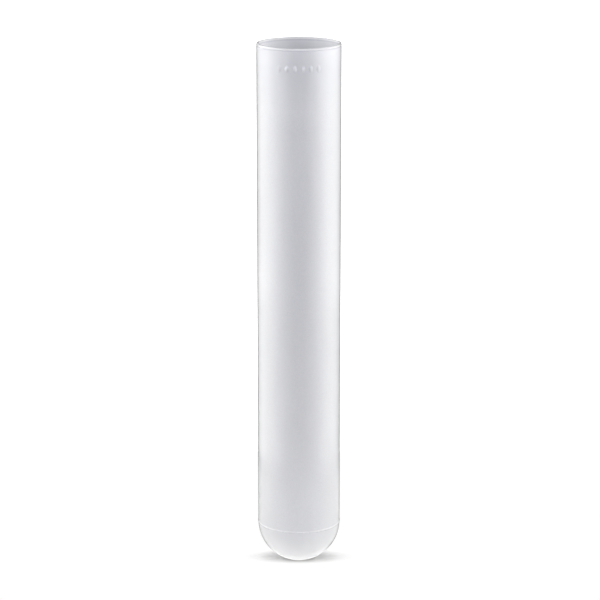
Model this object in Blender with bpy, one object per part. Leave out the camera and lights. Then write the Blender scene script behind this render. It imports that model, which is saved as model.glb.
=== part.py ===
"""A rimless round-bottom test tube, injection moulded in one piece from natural polypropylene.

The lowest point of the round bottom is the origin, and +Z runs up the tube's axis to its mouth.
"""

import math

import bpy

MM = 0.001

# Driving dimensions.
LENGTH = 102 * MM
MOUTH_DIAMETER = 16 * MM
SEAM_DIAMETER = 15.9 * MM  # the barrel's draft: it narrows by this much on its way down to the mould line
WALL = 0.4 * MM
FLOOR = 0.7 * MM  # the wall thickens towards the lowest point, where the plastic flows in

# The lip: a flat land between an outer rounded edge and a finer inner one.
LIP_ROUND_WIDTH = 0.22 * MM
LIP_ROUND_HEIGHT = 0.38 * MM
LIP_INNER_ROUND = 0.06 * MM

# The ridge that the mould's parting line leaves round the tube.
RIDGE_PROUD = 0.05 * MM
RIDGE_HEIGHT = 0.26 * MM

# How finely the round shapes are divided.
TURN_STEPS = 72
BOWL_STEPS = 13
BARREL_STEPS = 6
LIP_STEPS = 3
MERGE_DISTANCE = 0.001 * MM

# Milky plastic, as linear colour.
PLASTIC_COLOUR = (0.86, 0.87, 0.90, 1.0)
PLASTIC_ROUGHNESS = 0.38
PLASTIC_TRANSMISSION = 0.45
PLASTIC_IOR = 1.49

# Values that follow from the driving dimensions.
MOUTH_RADIUS = MOUTH_DIAMETER / 2
SEAM_RADIUS = SEAM_DIAMETER / 2
SEAM_Z = SEAM_RADIUS  # the bottom is half a sphere, so its widest ring is one radius up
QUARTER_TURN = math.pi / 2


def clear_scene():
    for obj in list(bpy.data.objects):
        bpy.data.objects.remove(obj, do_unlink=True)


def quarter_ellipse(centre, half_width, half_height, start, end, steps):
    """Points (radius, height) on an ellipse, from angle start to angle end above the horizontal."""
    points = []
    for step in range(steps + 1):
        angle = start + (end - start) * step / steps
        points.append((centre[0] + half_width * math.cos(angle), centre[1] + half_height * math.sin(angle)))
    return points


def straight(start, end, steps):
    """Points after start, up to but not including end, evenly spaced on a line."""
    return [
        tuple(a + (b - a) * step / steps for a, b in zip(start, end))
        for step in range(1, steps)
    ]


def outer_profile():
    """Down the outside: rounded lip, drafted barrel, parting-line ridge, round bottom."""
    lip_centre = (MOUTH_RADIUS - LIP_ROUND_WIDTH, LENGTH - LIP_ROUND_HEIGHT)
    lip = quarter_ellipse(lip_centre, LIP_ROUND_WIDTH, LIP_ROUND_HEIGHT, QUARTER_TURN, 0, LIP_STEPS)
    ridge_top = (SEAM_RADIUS, SEAM_Z + RIDGE_HEIGHT / 2)
    ridge_crest = (SEAM_RADIUS + RIDGE_PROUD, SEAM_Z)
    ridge_angle = -RIDGE_HEIGHT / 2 / SEAM_RADIUS
    bowl = quarter_ellipse((0, SEAM_Z), SEAM_RADIUS, SEAM_RADIUS, ridge_angle, -QUARTER_TURN, BOWL_STEPS)
    bowl[-1] = (0, 0)
    return lip + straight(lip[-1], ridge_top, BARREL_STEPS) + [ridge_top, ridge_crest] + bowl


def inner_profile():
    """Up the inside: thickened bottom, parallel wall, fine rounded inner edge."""
    bowl_height = SEAM_Z - FLOOR
    bowl = quarter_ellipse((0, SEAM_Z), SEAM_RADIUS - WALL, bowl_height, -QUARTER_TURN, 0, BOWL_STEPS)
    bowl[0] = (0, FLOOR)
    lip_centre = (MOUTH_RADIUS - WALL + LIP_INNER_ROUND, LENGTH - LIP_INNER_ROUND)
    lip = quarter_ellipse(lip_centre, LIP_INNER_ROUND, LIP_INNER_ROUND, 2 * QUARTER_TURN, QUARTER_TURN, LIP_STEPS)
    return bowl + straight(bowl[-1], lip[0], BARREL_STEPS) + lip


def turned_object(name, profile):
    """A closed profile turned about Z. The points run down the outside and back up the inside."""
    points = [(radius, 0, height) for radius, height in profile]
    edges = [(first, first + 1) for first in range(len(points) - 1)]
    edges.append((len(points) - 1, 0))
    floor_edge = (profile.index((0, 0)), profile.index((0, FLOOR)))
    edges.remove(floor_edge)
    mesh = bpy.data.meshes.new(name)
    mesh.from_pydata(points, edges, [])
    obj = bpy.data.objects.new(name, mesh)
    bpy.context.scene.collection.objects.link(obj)
    turn = obj.modifiers.new("Turn", "SCREW")
    turn.axis = "Z"
    turn.angle = 2 * math.pi
    turn.steps = TURN_STEPS
    turn.render_steps = TURN_STEPS
    turn.use_merge_vertices = True
    turn.merge_threshold = MERGE_DISTANCE
    turn.use_smooth_shade = True
    return obj


def milky_plastic():
    material = bpy.data.materials.new("milky_polypropylene")
    material.use_nodes = True
    shader = material.node_tree.nodes["Principled BSDF"]
    shader.inputs["Base Color"].default_value = PLASTIC_COLOUR
    shader.inputs["Metallic"].default_value = 0.0
    shader.inputs["Roughness"].default_value = PLASTIC_ROUGHNESS
    shader.inputs["IOR"].default_value = PLASTIC_IOR
    shader.inputs["Transmission Weight"].default_value = PLASTIC_TRANSMISSION
    return material


def make_tube():
    tube = turned_object("tube", outer_profile() + inner_profile())
    tube.data.materials.append(milky_plastic())
    return tube


clear_scene()
make_tube()
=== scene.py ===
"""A milky, round-bottom test tube on a white studio table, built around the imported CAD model.

All lengths are in metres. The tube stands on the table at the origin, with its row of dots facing -Y,
where the camera stands and looks slightly down.
"""

import math

import bmesh
import bpy
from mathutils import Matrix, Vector, noise


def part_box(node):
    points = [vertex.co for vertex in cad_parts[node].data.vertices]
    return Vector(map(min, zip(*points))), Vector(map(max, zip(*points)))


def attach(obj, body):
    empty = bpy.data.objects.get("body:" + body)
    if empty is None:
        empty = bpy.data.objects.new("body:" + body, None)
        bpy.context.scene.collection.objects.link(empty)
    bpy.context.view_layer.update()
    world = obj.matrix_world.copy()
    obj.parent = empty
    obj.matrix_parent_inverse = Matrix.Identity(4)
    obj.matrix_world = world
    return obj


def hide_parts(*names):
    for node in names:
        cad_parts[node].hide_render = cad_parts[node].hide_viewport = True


MM = 0.001

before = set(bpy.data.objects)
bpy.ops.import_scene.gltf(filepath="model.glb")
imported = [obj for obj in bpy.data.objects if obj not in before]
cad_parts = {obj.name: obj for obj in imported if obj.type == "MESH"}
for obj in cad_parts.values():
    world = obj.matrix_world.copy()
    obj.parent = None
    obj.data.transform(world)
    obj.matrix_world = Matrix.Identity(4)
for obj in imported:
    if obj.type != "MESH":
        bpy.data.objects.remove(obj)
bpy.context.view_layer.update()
tube_low, tube_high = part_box("tube")

# The tube's driving sizes: the length and the mouth come from the frame.
LENGTH = tube_high.z - tube_low.z
MOUTH_RADIUS = (tube_high.x - tube_low.x) / 2
DRAFT = 0.05 * MM  # the barrel's radius shrinks by this on its way down to the parting line
SEAM_RADIUS = MOUTH_RADIUS - DRAFT
SEAM_Z = SEAM_RADIUS
WALL = 0.4 * MM
FLOOR = 0.7 * MM

# Lip, with the fine groove that the mould's lip ring leaves under it
LIP_ROUND_WIDTH = 0.22 * MM
LIP_ROUND_HEIGHT = 0.38 * MM
LIP_INNER_ROUND = 0.06 * MM
WITNESS_DEPTH = 0.07 * MM
WITNESS_HALF_HEIGHT = 0.11 * MM
WITNESS_Z = LENGTH - LIP_ROUND_HEIGHT - 0.14 * MM

# Parting line
RIDGE_PROUD = 0.05 * MM
RIDGE_HALF_HEIGHT = 0.24 * MM
RAGGED_SHARE = 0.6
RAGGED_PITCH = 0.55 * MM
RAGGED_FINER = 2.3  # the second layer of raggedness has this many times as many teeth
WANDER_SHARE = 0.25  # how far the line wanders up and down, as a share of its half height
WANDER_COARSER = 0.4

# Row of raised dots under the mouth
DOT_COUNT = 6
DOT_SPACING = 1.5 * MM
DOT_HALF_WIDTH = 0.45 * MM
DOT_HALF_HEIGHT = 0.8 * MM
DOT_PROUD = 0.12 * MM
DOTS_Z = LENGTH - 3.85 * MM

# Mesh fineness: rows are closest together on the groove, the dots and the parting line
WITNESS_ROW = WITNESS_HALF_HEIGHT / 5
DOT_ROW = DOT_HALF_HEIGHT / 12
RIDGE_ROW = RIDGE_HALF_HEIGHT / 5
UPPER_ROW = 0.8 * MM
BARREL_ROW = 1.0 * MM
BORE_ROW = 3 * MM
FINE_WITNESS_REACH = 1.5 * WITNESS_HALF_HEIGHT
FINE_DOTS_REACH = 1.1 * DOT_HALF_HEIGHT
FINE_RIDGE_REACH = 2.5 * RIDGE_HALF_HEIGHT
FRONT_HALF_ANGLE = math.radians(36)
FRONT_STEP = math.radians(0.6)
REAR_STEP = math.radians(1.25)

# Plastic: a satin moulded skin over a milky body, with painted light and shade in some of its colours
SKIN_ROUGHNESS = 0.13
SKIN_ROUGHNESS_SPREAD = 0.03
MILKY_DEPTH = 1.5 * MM
CLOUD_DARK, CLOUD_LIGHT = (0.878, 0.882, 0.892), (0.890, 0.893, 0.900)
STREAK_GREY, STREAK_SHARE = (0.84, 0.85, 0.87), 0.25
GRAIN_WHITE, GRAIN_SHARE = (0.94, 0.94, 0.94), 0.6
# painted light from below: the lower part's colour is whiter
BOTTOM_PAINTED_LIGHT = (0.955, 0.95, 0.945)
# painted highlight: a whiter ragged belt along the parting line
SEAM_PAINTED_HIGHLIGHT = (0.975, 0.975, 0.975)
# painted shade: greyer towards the mouth
MOUTH_PAINTED_SHADE = (0.77, 0.775, 0.795)
# painted shade: a grey line in the groove under the lip
GROOVE_PAINTED_SHADE = (0.66, 0.66, 0.70)
# painted highlight: the top of the lip is whiter
LIP_PAINTED_HIGHLIGHT = (0.93, 0.93, 0.93)
GATE_WARM = (0.975, 0.955, 0.90)

# The plastic's noises, in cells to the metre
CLOUDS = 240
STREAKS = 900
STREAK_STRETCH = (1, 1, 0.06)
# teeth of the painted highlight along the parting line
SEAM_HIGHLIGHT_TEETH = 1100
SKIN = 2600
GRAIN = 3600
NOISE_LOW, NOISE_HIGH = 0.3, 0.7  # nearly all of a noise's values lie between these
TEETH_LOW, TEETH_HIGH = 0.38, 0.6  # closer together, so that the teeth stand out

# Heights where the plastic's colour turns, from none of the new colour to all of it, and its belts. Apart
# from the warm tip, these place painted light, painted highlights and painted shade.
BOTTOM_LIGHT_FROM, BOTTOM_LIGHT_TO = SEAM_Z + 1 * MM, 5 * MM
MOUTH_SHADE_FROM, MOUTH_SHADE_TO = LENGTH - 12 * MM, LENGTH - 4 * MM
LIP_HIGHLIGHT_FROM, LIP_HIGHLIGHT_TO = LENGTH - 0.42 * MM, LENGTH - 0.3 * MM
GATE_FROM, GATE_TO = 1.8 * MM, 0.1 * MM
SEAM_HIGHLIGHT_HALF_HEIGHT = 0.4 * MM
GROOVE_PAINTED_SHADE_HALF_HEIGHT = 0.22 * MM

# Table. The camera sees it burnt out, with the tube's shadow; the tube sees its glow and a dark flag.
TABLE_RADIUS = 70 * MM
TABLE_BELOW = 0.02 * MM
TABLE_SHADE = 0.2
TABLE_WHITE = 1.02  # over 1, so burnt out
SHADOW_HALF_WIDTH = 12.5 * MM
SHADOW_HALF_DEPTH = 4.5 * MM
SHADOW_BEHIND = 0.8 * MM
SHADOW_CORE = 0.35  # the share of the shadow's reach that is left unfaded
TABLE_GLOW, CONTACT_GLOW = 0.74, 1.13
CONTACT_FROM, CONTACT_TO = 4 * MM, 16 * MM
GLOW_FROM, GLOW_TO = 55 * MM, 70 * MM
FLAG_FROM, FLAG_TO = 1 * MM, 3.5 * MM
FLAG_SPREAD = 0.4  # how much the flag widens on each side per unit of distance behind the tube
FLAG_EDGE_FROM, FLAG_EDGE_TO = 7 * MM, 9 * MM

# Lights. Angles are in degrees, and azimuth 0 is the camera's side.
PANEL_DISTANCE = 700 * MM
BACKDROP_WHITE = 1.5  # over 1, so burnt out
COOL = (0.83, 0.84, 1.0)
WRAP_AZIMUTHS = range(26, 147, 12)
WRAP_PANEL_WIDTH = 0.15
UPPER_SOFTBOX = {"elevation": 11, "height": 0.64}
LOWER_SOFTBOX = {"elevation": -23, "height": 0.25}
LEFT = {"side": -1, "centre": 84, "front_fade": 44}
RIGHT = {"side": 1, "centre": 81, "front_fade": 38}

# Camera, worked out from the rim's and the parting line's ellipses
CAMERA_DISTANCE = 4.482 * LENGTH
CAMERA_ABOVE_RIM = 0.635 * LENGTH
CAMERA_ASIDE = 0.2 * MM
CAMERA_PITCH = math.radians(14.05)
CAMERA_LENS = 147.3  # focal length in millimetres, for the sensor's width
CAMERA_SENSOR = 36

# Angles round the tube, or up its profile
FRONT = -math.pi / 2
QUARTER_TURN = math.pi / 2


def ellipse_points(centre, half_width, half_height, start, end, steps):
    """Points (radius, height) on an ellipse from angle start to angle end."""
    points = []
    for step in range(steps + 1):
        angle = start + (end - start) * step / steps
        radius = centre[0] + half_width * math.cos(angle)
        height = centre[1] + half_height * math.sin(angle)
        points.append((radius, height))
    return points


def line_points(start, end, spacing):
    """Points from start to end, both left out, about spacing apart."""
    steps = max(1, round((Vector(end) - Vector(start)).length / spacing))
    return [tuple(Vector(start).lerp(Vector(end), step / steps)) for step in range(1, steps)]


def barrel_radius(height):
    """The drafted barrel's outer radius at a height above the parting line."""
    share = (height - SEAM_Z) / (LENGTH - LIP_ROUND_HEIGHT - SEAM_Z)
    return SEAM_RADIUS + DRAFT * min(max(share, 0), 1)


def outer_profile():
    """Points down the outside, from the top of the lip to the lowest point."""
    lip_centre = (MOUTH_RADIUS - LIP_ROUND_WIDTH, LENGTH - LIP_ROUND_HEIGHT)
    points = ellipse_points(lip_centre, LIP_ROUND_WIDTH, LIP_ROUND_HEIGHT, QUARTER_TURN, 0, steps=10)
    for stop, spacing in (
        (WITNESS_Z - FINE_WITNESS_REACH, WITNESS_ROW),
        (DOTS_Z + FINE_DOTS_REACH, UPPER_ROW),
        (DOTS_Z - FINE_DOTS_REACH, DOT_ROW),
        (SEAM_Z + FINE_RIDGE_REACH, BARREL_ROW),
        (SEAM_Z, RIDGE_ROW),
    ):
        end = (barrel_radius(stop), stop)
        points += line_points(points[-1], end, spacing) + [end]
    seam_centre = (0, SEAM_Z)
    fine_angle = -FINE_RIDGE_REACH / SEAM_RADIUS
    points += ellipse_points(seam_centre, SEAM_RADIUS, SEAM_RADIUS, 0, fine_angle, steps=12)[1:]
    points += ellipse_points(seam_centre, SEAM_RADIUS, SEAM_RADIUS, fine_angle, -QUARTER_TURN, steps=40)[1:]
    points[-1] = (0.0, 0.0)
    return points


def inner_profile():
    """Points up the inside, from the floor's middle to the top of the lip."""
    bowl_height = SEAM_Z - FLOOR
    points = ellipse_points((0, SEAM_Z), SEAM_RADIUS - WALL, bowl_height, -QUARTER_TURN, 0, steps=30)
    points[0] = (0.0, FLOOR)
    lip_centre = (MOUTH_RADIUS - WALL + LIP_INNER_ROUND, LENGTH - LIP_INNER_ROUND)
    lip = ellipse_points(lip_centre, LIP_INNER_ROUND, LIP_INNER_ROUND, math.pi, QUARTER_TURN, steps=5)
    return points + line_points(points[-1], lip[0], BORE_ROW) + lip


def ring_angles():
    """Angles round the tube, closer together at the front, where the dots are."""
    front = 2 * FRONT_HALF_ANGLE
    rear = 2 * math.pi - front
    front_steps = round(front / FRONT_STEP)
    rear_steps = round(rear / REAR_STEP)
    start = FRONT - FRONT_HALF_ANGLE
    angles = [start + front * step / front_steps for step in range(front_steps)]
    angles += [start + front + rear * step / rear_steps for step in range(rear_steps)]
    return angles


def smooth_bump(share):
    """1 in the middle, easing to 0 at share 1."""
    return (1 - min(share, 1) ** 2) ** 2


def witness_line(height):
    """The fine groove that the mould's lip ring leaves below the rounded edge."""
    return -WITNESS_DEPTH * smooth_bump(abs(height - WITNESS_Z) / WITNESS_HALF_HEIGHT)


def parting_ridge(angle, height):
    """The slightly ragged line of flash where the mould's halves meet, wandering a little up and down."""
    around = Vector((math.cos(angle), math.sin(angle), 0)) * (SEAM_RADIUS / RAGGED_PITCH)
    elsewhere = Vector((0, 0, 5))
    ragged = 1 + RAGGED_SHARE * noise.noise(around) + RAGGED_SHARE * noise.noise(around * RAGGED_FINER)
    wander = WANDER_SHARE * RIDGE_HALF_HEIGHT * noise.noise(around * WANDER_COARSER + elsewhere)
    return RIDGE_PROUD * ragged * smooth_bump(abs(height - SEAM_Z - wander) / RIDGE_HALF_HEIGHT)


def raised_dots(angle, height):
    """A plain row of raised dots, a little taller than wide."""
    above = height - DOTS_Z
    across = (angle - FRONT) * MOUTH_RADIUS + DOT_SPACING * (DOT_COUNT - 1) / 2
    nearest = min(max(round(across / DOT_SPACING), 0), DOT_COUNT - 1)
    beside = across - nearest * DOT_SPACING
    return DOT_PROUD * smooth_bump(math.hypot(beside / DOT_HALF_WIDTH, above / DOT_HALF_HEIGHT))


def outer_relief(angle, height):
    """How far the outside stands proud of its plain profile."""
    return witness_line(height) + parting_ridge(angle, height) + raised_dots(angle, height)


def tube_mesh():
    """One closed skin: down the outside to its lowest point, and from the bore's floor up to the lip."""
    outer, inner = outer_profile(), inner_profile()
    angles = ring_angles()
    count = len(angles)
    vertices, rings = [], []
    for is_outer, profile in ((True, outer), (False, inner)):
        for radius, height in profile:
            if radius == 0:
                rings.append([len(vertices)] * count)
                vertices.append((0, 0, height))
                continue
            rings.append(list(range(len(vertices), len(vertices) + count)))
            for angle in angles:
                reach = radius + (outer_relief(angle, height) if is_outer else 0)
                vertices.append((reach * math.cos(angle), reach * math.sin(angle), height))
    faces = []
    lowest_outer = len(outer) - 1
    for row in range(len(rings)):
        upper, lower = rings[row], rings[(row + 1) % len(rings)]
        if row == lowest_outer:
            continue  # the lowest point outside and the floor's middle are single points, left unjoined
        for step in range(count):
            after = (step + 1) % count
            corners = [upper[step], lower[step], lower[after], upper[after]]
            faces.append(list(dict.fromkeys(corners)))
    mesh = bpy.data.meshes.new("test_tube")
    mesh.from_pydata(vertices, [], faces)
    mesh.shade_smooth()
    mesh.update()
    return mesh


# Material

# The Mix node's colour sockets share their names with its number sockets, so all go by place.
MIX_SHARE, MIX_UNDER, MIX_OVER, MIX_RESULT = 0, 6, 7, 2


def feed(tree, value, socket):
    """Set the socket to a plain number, or link another node's socket to it."""
    if isinstance(value, float):
        socket.default_value = value
    else:
        tree.links.new(value, socket)


def new_material(name):
    material = bpy.data.materials.new(name)
    material.use_nodes = True
    tree = material.node_tree
    return material, tree, tree.nodes["Principled BSDF"]


def noise_texture(tree, coordinates, scale, detail, stretch=(1, 1, 1)):
    """Noise with scale cells to the metre. A stretch under 1 draws the cells out along that axis."""
    placed = tree.nodes.new("ShaderNodeMapping")
    placed.inputs["Scale"].default_value = stretch
    tree.links.new(coordinates, placed.inputs["Vector"])
    texture = tree.nodes.new("ShaderNodeTexNoise")
    texture.inputs["Scale"].default_value = scale
    texture.inputs["Detail"].default_value = detail
    tree.links.new(placed.outputs["Vector"], texture.inputs["Vector"])
    return texture.outputs["Fac"]


def remapped(tree, value, low, high, start=NOISE_LOW, end=NOISE_HIGH, easing="LINEAR"):
    """value, from start..end to low..high, held at the ends."""
    node = tree.nodes.new("ShaderNodeMapRange")
    node.interpolation_type = easing
    node.inputs["From Min"].default_value = start
    node.inputs["From Max"].default_value = end
    node.inputs["To Min"].default_value = low
    node.inputs["To Max"].default_value = high
    tree.links.new(value, node.inputs["Value"])
    return node.outputs["Result"]


def blended(tree, share, under, over):
    """The colour under, turning into the plain colour over as share goes from 0 to 1."""
    mix = tree.nodes.new("ShaderNodeMix")
    mix.data_type = "RGBA"
    mix.inputs[MIX_OVER].default_value = (*over, 1)
    tree.links.new(share, mix.inputs[MIX_SHARE])
    if isinstance(under, tuple):
        mix.inputs[MIX_UNDER].default_value = (*under, 1)
    else:
        tree.links.new(under, mix.inputs[MIX_UNDER])
    return mix.outputs[MIX_RESULT]


def calculated(tree, operation, *terms):
    """The Math node's result for terms that are numbers or sockets."""
    node = tree.nodes.new("ShaderNodeMath")
    node.operation = operation
    for term, socket in zip(terms, node.inputs):
        feed(tree, term, socket)
    return node.outputs["Value"]


def multiplied(tree, first, second):
    return calculated(tree, "MULTIPLY", first, second)


def belt(tree, height, middle, half_width):
    """1 at the middle height, falling to 0 half_width above and below it."""
    above = remapped(tree, height, 0, 1, middle + half_width, middle)
    below = remapped(tree, height, 0, 1, middle - half_width, middle)
    return multiplied(tree, above, below)


def along(tree, coordinates, axis):
    """The place on the surface, measured along one axis."""
    place = tree.nodes.new("ShaderNodeSeparateXYZ")
    tree.links.new(coordinates, place.inputs["Vector"])
    return place.outputs[axis]


def milky_colour(tree, coordinates):
    """Milky white, with faint clouds, flow streaks, grain and a warm tip, and painted light that follows the
    height: a brighter bottom, painted highlights on the parting line and the lip, and painted shade towards
    the mouth and in the lip's groove.
    """
    height = along(tree, coordinates, "Z")
    cloudy = noise_texture(tree, coordinates, CLOUDS, detail=3)
    streaky = noise_texture(tree, coordinates, STREAKS, detail=2, stretch=STREAK_STRETCH)
    grainy = noise_texture(tree, coordinates, GRAIN, detail=1)
    toothed = noise_texture(tree, coordinates, SEAM_HIGHLIGHT_TEETH, detail=2)
    clouds = remapped(tree, cloudy, 0, 1)
    streaks = remapped(tree, streaky, 0, STREAK_SHARE)
    grain = remapped(tree, grainy, 0, GRAIN_SHARE)
    # painted light: whiter from a little above the parting line down to the bottom
    bottom_painted_light = remapped(tree, height, 0, 1, BOTTOM_LIGHT_FROM, BOTTOM_LIGHT_TO)
    teeth = remapped(tree, toothed, 0, 1, TEETH_LOW, TEETH_HIGH)
    # painted highlight: a whiter ragged belt along the parting line
    flash = multiplied(tree, belt(tree, height, SEAM_Z, SEAM_HIGHLIGHT_HALF_HEIGHT), teeth)
    # painted shade, turning greyer from 12 mm below the top to 4 mm below it
    mouth_painted_shade = remapped(tree, height, 0, 1, MOUTH_SHADE_FROM, MOUTH_SHADE_TO)
    # painted shade along the groove under the lip
    groove_painted_shade = belt(tree, height, WITNESS_Z, GROOVE_PAINTED_SHADE_HALF_HEIGHT)
    # painted highlight on the top of the lip
    lip = remapped(tree, height, 0, 1, LIP_HIGHLIGHT_FROM, LIP_HIGHLIGHT_TO)
    gate = remapped(tree, height, 0, 1, GATE_FROM, GATE_TO)
    colour = CLOUD_DARK
    for share, over in (
        (clouds, CLOUD_LIGHT),
        (streaks, STREAK_GREY),
        (grain, GRAIN_WHITE),
        (bottom_painted_light, BOTTOM_PAINTED_LIGHT),
        (flash, SEAM_PAINTED_HIGHLIGHT),
        (mouth_painted_shade, MOUTH_PAINTED_SHADE),
        (groove_painted_shade, GROOVE_PAINTED_SHADE),
        (lip, LIP_PAINTED_HIGHLIGHT),
        (gate, GATE_WARM),
    ):
        colour = blended(tree, share, colour, over)
    return colour


def milky_polypropylene():
    """Natural polypropylene: milky through its depth, with a satin moulded skin."""
    material, tree, shader = new_material("moulded_milky_plastic")
    coordinates = tree.nodes.new("ShaderNodeTexCoord").outputs["Object"]
    tree.links.new(milky_colour(tree, coordinates), shader.inputs["Base Color"])
    shader.inputs["IOR"].default_value = 1.49
    shader.inputs["Transmission Weight"].default_value = 0.15
    shader.inputs["Subsurface Weight"].default_value = 1.0
    shader.inputs["Subsurface Radius"].default_value = (1.0, 1.0, 1.0)
    shader.inputs["Subsurface Scale"].default_value = MILKY_DEPTH
    shader.inputs["Coat Weight"].default_value = 0.5
    shader.inputs["Coat IOR"].default_value = 1.3
    shader.inputs["Coat Roughness"].default_value = 0.08
    fine = noise_texture(tree, coordinates, SKIN, detail=2)
    low, high = SKIN_ROUGHNESS - SKIN_ROUGHNESS_SPREAD, SKIN_ROUGHNESS + SKIN_ROUGHNESS_SPREAD
    tree.links.new(remapped(tree, fine, low, high), shader.inputs["Roughness"])
    bump = tree.nodes.new("ShaderNodeBump")
    bump.inputs["Strength"].default_value = 0.15
    bump.inputs["Distance"].default_value = 0.01 * MM
    tree.links.new(fine, bump.inputs["Height"])
    tree.links.new(bump.outputs["Normal"], shader.inputs["Normal"])
    return material


def add_tube():
    """The tube, which rides on the part's only body and stands for the CAD solid."""
    tube = bpy.data.objects.new("test_tube", tube_mesh())
    bpy.context.scene.collection.objects.link(tube)
    tube.data.materials.append(milky_polypropylene())
    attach(tube, "root")
    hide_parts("tube")
    return tube


# Studio

def camera_chooses(tree, to_camera, to_others):
    """One shader for what the camera sees, and another for the light that reaches the tube."""
    choose = tree.nodes.new("ShaderNodeMixShader")
    path = tree.nodes.new("ShaderNodeLightPath")
    tree.links.new(path.outputs["Is Camera Ray"], choose.inputs[0])
    tree.links.new(to_others, choose.inputs[1])
    tree.links.new(to_camera, choose.inputs[2])
    return choose.outputs[0]


def emission(tree, strength):
    """White light, of one strength all over or of a strength that a socket gives."""
    node = tree.nodes.new("ShaderNodeEmission")
    feed(tree, strength, node.inputs["Strength"])
    return node.outputs["Emission"]


def length_of(tree, vector):
    node = tree.nodes.new("ShaderNodeVectorMath")
    node.operation = "LENGTH"
    tree.links.new(vector, node.inputs[0])
    return node.outputs["Value"]


def table_seen(tree, coordinates):
    """The table as the camera sees it: burnt out to white, apart from the tube's shadow close to it.

    A grey under strong light looks white, and the tube's own light hardly fills its shadow.
    """
    pool = tree.nodes.new("ShaderNodeMapping")
    pool.inputs["Location"].default_value = (0, -SHADOW_BEHIND / SHADOW_HALF_DEPTH, 0)
    pool.inputs["Scale"].default_value = (1 / SHADOW_HALF_WIDTH, 1 / SHADOW_HALF_DEPTH, 0)
    tree.links.new(coordinates, pool.inputs["Vector"])
    matt = tree.nodes.new("ShaderNodeBsdfDiffuse")
    matt.inputs["Color"].default_value = (TABLE_SHADE, TABLE_SHADE, TABLE_SHADE, 1)
    burnt_out = emission(tree, TABLE_WHITE)
    away = length_of(tree, pool.outputs["Vector"])
    fade = tree.nodes.new("ShaderNodeMixShader")
    tree.links.new(remapped(tree, away, 0, 1, SHADOW_CORE, 1, "SMOOTHSTEP"), fade.inputs[0])
    tree.links.new(matt.outputs[0], fade.inputs[1])
    tree.links.new(burnt_out, fade.inputs[2])
    return fade.outputs[0]


def table_glow(tree, coordinates):
    """The table as the tube sees it: bright, with a dark flag behind for the tube's edges to mirror."""
    distance = length_of(tree, coordinates)
    strength = remapped(tree, distance, CONTACT_GLOW, TABLE_GLOW, CONTACT_FROM, CONTACT_TO)
    near = remapped(tree, distance, 1, 0, GLOW_FROM, GLOW_TO)
    aside = calculated(tree, "ABSOLUTE", along(tree, coordinates, "X"))
    back = along(tree, coordinates, "Y")
    past_flag = calculated(tree, "SUBTRACT", aside, multiplied(tree, back, FLAG_SPREAD))
    beside = remapped(tree, past_flag, 0, 1, FLAG_EDGE_FROM, FLAG_EDGE_TO)
    before = remapped(tree, back, 1, 0, FLAG_FROM, FLAG_TO)
    unflagged = calculated(tree, "MAXIMUM", beside, before)
    return emission(tree, multiplied(tree, multiplied(tree, strength, near), unflagged))


def white_table():
    """The table's material: one look for the camera, and another that lights the tube."""
    material, tree, _ = new_material("white_table")
    coordinates = tree.nodes.new("ShaderNodeTexCoord").outputs["Object"]
    surface = camera_chooses(tree, table_seen(tree, coordinates), table_glow(tree, coordinates))
    tree.links.new(surface, tree.nodes["Material Output"].inputs["Surface"])
    return material


def add_table():
    bm = bmesh.new()
    bmesh.ops.create_circle(bm, cap_ends=True, segments=96, radius=TABLE_RADIUS)
    mesh = bpy.data.meshes.new("studio_table")
    bm.to_mesh(mesh)
    bm.free()
    mesh.materials.append(white_table())
    table = bpy.data.objects.new("studio_table", mesh)
    table.location.z = -TABLE_BELOW
    bpy.context.scene.collection.objects.link(table)
    return table


def add_world():
    """White behind the object for the camera, and darkness for the tube to reflect at its edges."""
    world = bpy.data.worlds.new("studio")
    bpy.context.scene.world = world
    world.use_nodes = True
    tree = world.node_tree
    dark = tree.nodes["Background"]
    dark.inputs["Color"].default_value = (0, 0, 0, 1)
    white = tree.nodes.new("ShaderNodeBackground")
    white.inputs["Color"].default_value = (1, 1, 1, 1)
    white.inputs["Strength"].default_value = BACKDROP_WHITE
    surface = camera_chooses(tree, white.outputs[0], dark.outputs[0])
    tree.links.new(surface, tree.nodes["World Output"].inputs["Surface"])


def lit_group(name, obj):
    """A light-linking group, so that the tube and the table are lit apart."""
    group = bpy.data.collections.new(name)
    group.objects.link(obj)
    return group


def add_panel(group, name, azimuth, elevation, width, height, watts, colour=(1, 1, 1), blockers=None):
    """A softbox that faces the tube and lights only the group. Azimuth 0 is the camera's side, 90 is +X.

    With blockers, only they stop its light.
    """
    turn, rise = math.radians(azimuth), math.radians(elevation)
    away = Vector((math.sin(turn) * math.cos(rise), -math.cos(turn) * math.cos(rise), math.sin(rise)))
    light = bpy.data.lights.new(name, "AREA")
    light.shape = "RECTANGLE"
    light.size, light.size_y = width, height
    light.energy = watts
    light.color = colour
    panel = bpy.data.objects.new(name, light)
    panel.location = Vector((0, 0, LENGTH / 2)) + away * PANEL_DISTANCE
    panel.rotation_euler = away.to_track_quat("Z", "Y").to_euler()
    panel.visible_camera = False
    panel.light_linking.receiver_collection = group
    panel.light_linking.blocker_collection = blockers
    bpy.context.scene.collection.objects.link(panel)


def add_wrapped_softbox(group, side, elevation, height, centre, front_fade, back_fade, watts):
    """Strips that wrap round one side of the tube, brightest at the centre and fading to both ends.

    Only the group stops their light, because the table would hide the lower strips.
    """
    for azimuth in WRAP_AZIMUTHS:
        fade = front_fade if azimuth < centre else back_fade
        strip_watts = watts * math.exp(-((azimuth - centre) / fade) ** 2)
        place = (side * azimuth, elevation, WRAP_PANEL_WIDTH, height)
        add_panel(group, "side_softbox", *place, strip_watts, blockers=group)


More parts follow.
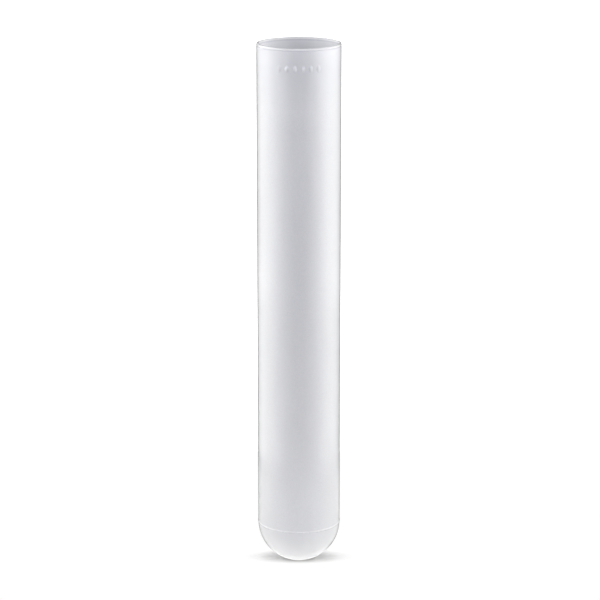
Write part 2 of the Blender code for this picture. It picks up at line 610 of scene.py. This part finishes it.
def light_tube(group):
    """The photo's sides differ a little, and its barrel darkens downwards, so the lower rows are dimmer."""
    add_wrapped_softbox(group, **UPPER_SOFTBOX, **LEFT, back_fade=52, watts=0.88)
    add_wrapped_softbox(group, **UPPER_SOFTBOX, **RIGHT, back_fade=44, watts=0.98)
    add_wrapped_softbox(group, **LOWER_SOFTBOX, **LEFT, back_fade=65, watts=0.19)
    add_wrapped_softbox(group, **LOWER_SOFTBOX, **RIGHT, back_fade=46, watts=0.2)
    square = {"width": 0.4, "height": 0.4}
    for side in (-1, 1):
        add_panel(group, "high_side_softbox", side * 80, elevation=50, **square, watts=0.4)
    add_panel(group, "front_softbox", 0, elevation=20, **square, watts=1.6, colour=COOL)
    add_panel(group, "high_front_softbox", 0, elevation=58, **square, watts=0.75, colour=COOL)


def light_table(group):
    """Enough light to burn out the grey table, apart from the tube's shadow."""
    square = {"width": 0.3, "height": 0.3}
    for side in (-1, 1):
        add_panel(group, "table_side_softbox", side * 90, elevation=35, **square, watts=2.5 / TABLE_SHADE)
        add_panel(group, "table_high_softbox", side * 90, elevation=65, **square, watts=0.4 / TABLE_SHADE)
    add_panel(group, "table_top_softbox", 0, elevation=88, **square, watts=1.7 / TABLE_SHADE)
    add_panel(group, "table_front_softbox", 0, elevation=15, width=0.5, height=0.3, watts=2.9 / TABLE_SHADE)
    add_panel(group, "table_back_softbox", 180, elevation=40, width=0.4, height=0.3, watts=0.8 / TABLE_SHADE)


def add_camera():
    data = bpy.data.cameras.new("camera")
    data.lens = CAMERA_LENS
    data.sensor_width = CAMERA_SENSOR
    data.clip_start, data.clip_end = 0.01, 20
    camera = bpy.data.objects.new("camera", data)
    camera.location = (CAMERA_ASIDE, -CAMERA_DISTANCE, LENGTH + CAMERA_ABOVE_RIM)
    camera.rotation_euler = (QUARTER_TURN - CAMERA_PITCH, 0, 0)
    bpy.context.scene.collection.objects.link(camera)
    bpy.context.scene.camera = camera


def set_colours():
    view = bpy.context.scene.view_settings
    view.view_transform = "Standard"
    view.look = "None"


add_camera()
tube = add_tube()
table = add_table()
add_world()
light_tube(lit_group("lit_tube", tube))
light_table(lit_group("lit_table", table))
set_colours()
